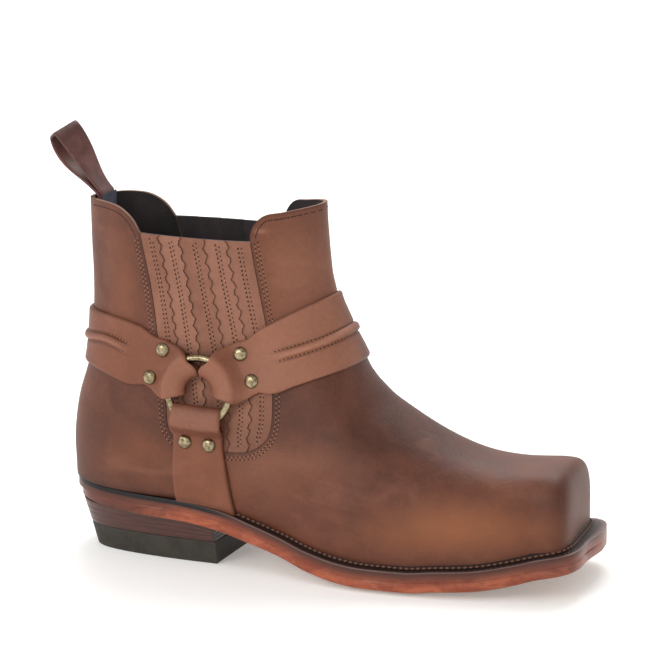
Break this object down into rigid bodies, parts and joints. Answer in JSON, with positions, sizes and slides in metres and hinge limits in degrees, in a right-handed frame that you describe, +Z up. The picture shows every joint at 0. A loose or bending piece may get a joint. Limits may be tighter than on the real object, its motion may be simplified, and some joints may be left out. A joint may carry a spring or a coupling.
{
  "type": "western harness ankle boot",
  "caption": "Pull-on western ankle boot for the right foot: square toe, stacked heel, elastic side gores, ring harness and a pull loop.",
  "frame": {"origin": "centre line of the heel's ground face, on the floor", "axes": "+X along the foot to the toe, +Y to the medial (inner) side of the right foot, +Z up"},
  "size_m": [0.3144, 0.1054, 0.2356],
  "materials": {
    "upper_leather": "oiled pull-up leather, satin",
    "strap_leather": "oiled leather, satin",
    "gore_elastic": "elastic web under pinked leather strips",
    "loop_webbing": "thin smooth leather",
    "sole_leather": "waxed edge, glossy",
    "welt_leather": "waxed dark edge",
    "heel_leather": "stacked leather, waxed",
    "heel_rubber": "matte",
    "insole_leather": "matte lining leather",
    "aged_brass": "antique, worn"
  },
  "bodies": {
    "root": {"upper": "upper_leather", "pull_loop": "loop_webbing", "strap_front": "strap_leather", "strap_back": "strap_leather", "strap_foot_lateral": "strap_leather", "strap_foot_medial": "strap_leather", "gore_lateral": "gore_elastic", "gore_medial": "gore_elastic", "outsole": "sole_leather", "welt": "welt_leather", "heel_stack": "heel_leather", "heel_top_lift": "heel_rubber", "insole": "insole_leather", "ring_lateral": "aged_brass", "ring_medial": "aged_brass", "rivet_lateral_front_1": "aged_brass", "rivet_lateral_front_2": "aged_brass", "rivet_lateral_back_1": "aged_brass", "rivet_lateral_back_2": "aged_brass", "rivet_lateral_foot_1": "aged_brass", "rivet_lateral_foot_2": "aged_brass", "rivet_medial_front_1": "aged_brass", "rivet_medial_front_2": "aged_brass", "rivet_medial_back_1": "aged_brass", "rivet_medial_back_2": "aged_brass", "rivet_medial_foot_1": "aged_brass", "rivet_medial_foot_2": "aged_brass"}
  },
  "joints": []
}
